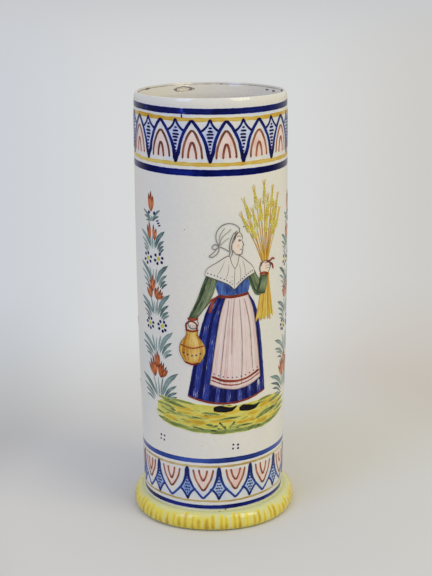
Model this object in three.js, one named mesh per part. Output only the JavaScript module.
// A tall earthenware vase: a plain tube, slightly swollen, that stands on a thick round foot.
// A potter makes it from three clay members, luted together with slip before the first firing:
//   foot_ring  a moulded roll of clay that the vase stands on, with a ledge inside it
//   floor      a flat disc that lies on the ledge and closes the bottom
//   wall       the tube, which stands on the rim of the floor and ends above in a rounded lip
// Millimetres, +Z up. The origin is the centre of the face that the vase stands on.

import * as THREE from "three";

// The vase as a whole
const HEIGHT = 300; // from the standing face to the crest of the lip
const FOOT_HEIGHT = 12.8; // where the top of the foot meets the wall

// The wall
const RIM_RADIUS = 51.9; // outside, just under the lip
const BASE_RADIUS = 49.8; // outside, where it stands on the floor
const SWELL = 1.7; // how far it stands out, half-way up, from a straight line between the two
const WALL_THICKNESS = 5;

// The floor
const FLOOR_THICKNESS = 7;
const RECESS_DEPTH = 4.5; // hollow under the floor, so that only the foot touches the table

// The foot
const FOOT_PROJECTION = 8.2; // how far its widest place stands out past the bottom of the wall
const STANDING_WIDTH = 11; // width of the flat ring that touches the table
const LEDGE_WIDTH = 7; // how far the floor overlaps the ledge inside the foot
const BELLY_HEIGHT = 4; // height of the foot's widest place

// The joints and the facets
const SLIP_GAP = 0.3; // layer of slip between the foot and what stands inside it
const ROUND_FACETS = 96; // facets in a full turn
const CURVE_STEPS = 4; // facets up the wall; each other rounded part has twice as many

// Places worked out from those sizes
const floorTop = RECESS_DEPTH + FLOOR_THICKNESS;
const lipRadius = WALL_THICKNESS / 2;
const lipCentre = HEIGHT - lipRadius;
const footRadius = BASE_RADIUS + FOOT_PROJECTION;
const footInnerRadius = BASE_RADIUS - LEDGE_WIDTH;

function wallRadius(z) {
  const share = (z - floorTop) / (lipCentre - floorTop);
  return BASE_RADIUS + (RIM_RADIUS - BASE_RADIUS) * share + 4 * SWELL * share * (1 - share);
}

const boreRadius = Math.max(BASE_RADIUS, wallRadius(FOOT_HEIGHT)) + SLIP_GAP;

const glaze = new THREE.MeshStandardMaterial({
  color: 0xe6e2da,
  roughness: 0.16,
  metalness: 0,
});
const biscuit = new THREE.MeshStandardMaterial({
  color: 0xdcd3c2,
  roughness: 0.3,
  metalness: 0,
});
const yellowGlaze = new THREE.MeshStandardMaterial({
  color: 0xd8cc72,
  roughness: 0.18,
  metalness: 0,
});

// Turns a closed outline, drawn as (radius, height), round the upright axis.
function turned(name, outline, material) {
  const geometry = new THREE.LatheGeometry(
    outline.getPoints(CURVE_STEPS),
    ROUND_FACETS,
  );
  geometry.rotateX(Math.PI / 2);
  const mesh = new THREE.Mesh(geometry, material);
  mesh.name = name;
  return mesh;
}

// Outside up, over the rounded lip, and down the inside. Both sides have the same swell.
function makeWall() {
  const middle = (floorTop + lipCentre) / 2;
  const pull = (BASE_RADIUS + RIM_RADIUS) / 2 + 2 * SWELL;
  const outline = new THREE.Path();
  outline.moveTo(BASE_RADIUS, floorTop);
  outline.quadraticCurveTo(pull, middle, RIM_RADIUS, lipCentre);
  outline.absarc(RIM_RADIUS - lipRadius, lipCentre, lipRadius, 0, Math.PI, false);
  outline.quadraticCurveTo(
    pull - WALL_THICKNESS, middle,
    BASE_RADIUS - WALL_THICKNESS, floorTop,
  );
  outline.closePath();
  return turned("wall", outline, glaze);
}

function makeFloor() {
  const outline = new THREE.Path();
  outline.moveTo(0, RECESS_DEPTH);
  outline.lineTo(BASE_RADIUS, RECESS_DEPTH);
  outline.lineTo(BASE_RADIUS, floorTop);
  outline.lineTo(0, floorTop);
  return turned("floor", outline, biscuit);
}

// Along the standing face, round the roll, down the bore to the ledge, and back to the inner edge.
function makeFootRing() {
  const standingEdge = footInnerRadius + STANDING_WIDTH;
  const shoulder = FOOT_HEIGHT - BELLY_HEIGHT;
  const outline = new THREE.Path();
  outline.moveTo(footInnerRadius, 0);
  outline.lineTo(standingEdge, 0);
  outline.absellipse(
    standingEdge, BELLY_HEIGHT,
    footRadius - standingEdge, BELLY_HEIGHT,
    -Math.PI / 2, 0, false,
  );
  outline.absellipse(
    boreRadius, BELLY_HEIGHT,
    footRadius - boreRadius, shoulder,
    0, Math.PI / 2, false,
  );
  outline.lineTo(boreRadius, RECESS_DEPTH);
  outline.lineTo(footInnerRadius, RECESS_DEPTH);
  outline.closePath();
  return turned("foot_ring", outline, yellowGlaze);
}

const vase = new THREE.Group();
vase.name = "vase";
vase.add(makeFootRing(), makeFloor(), makeWall());

export default vase;
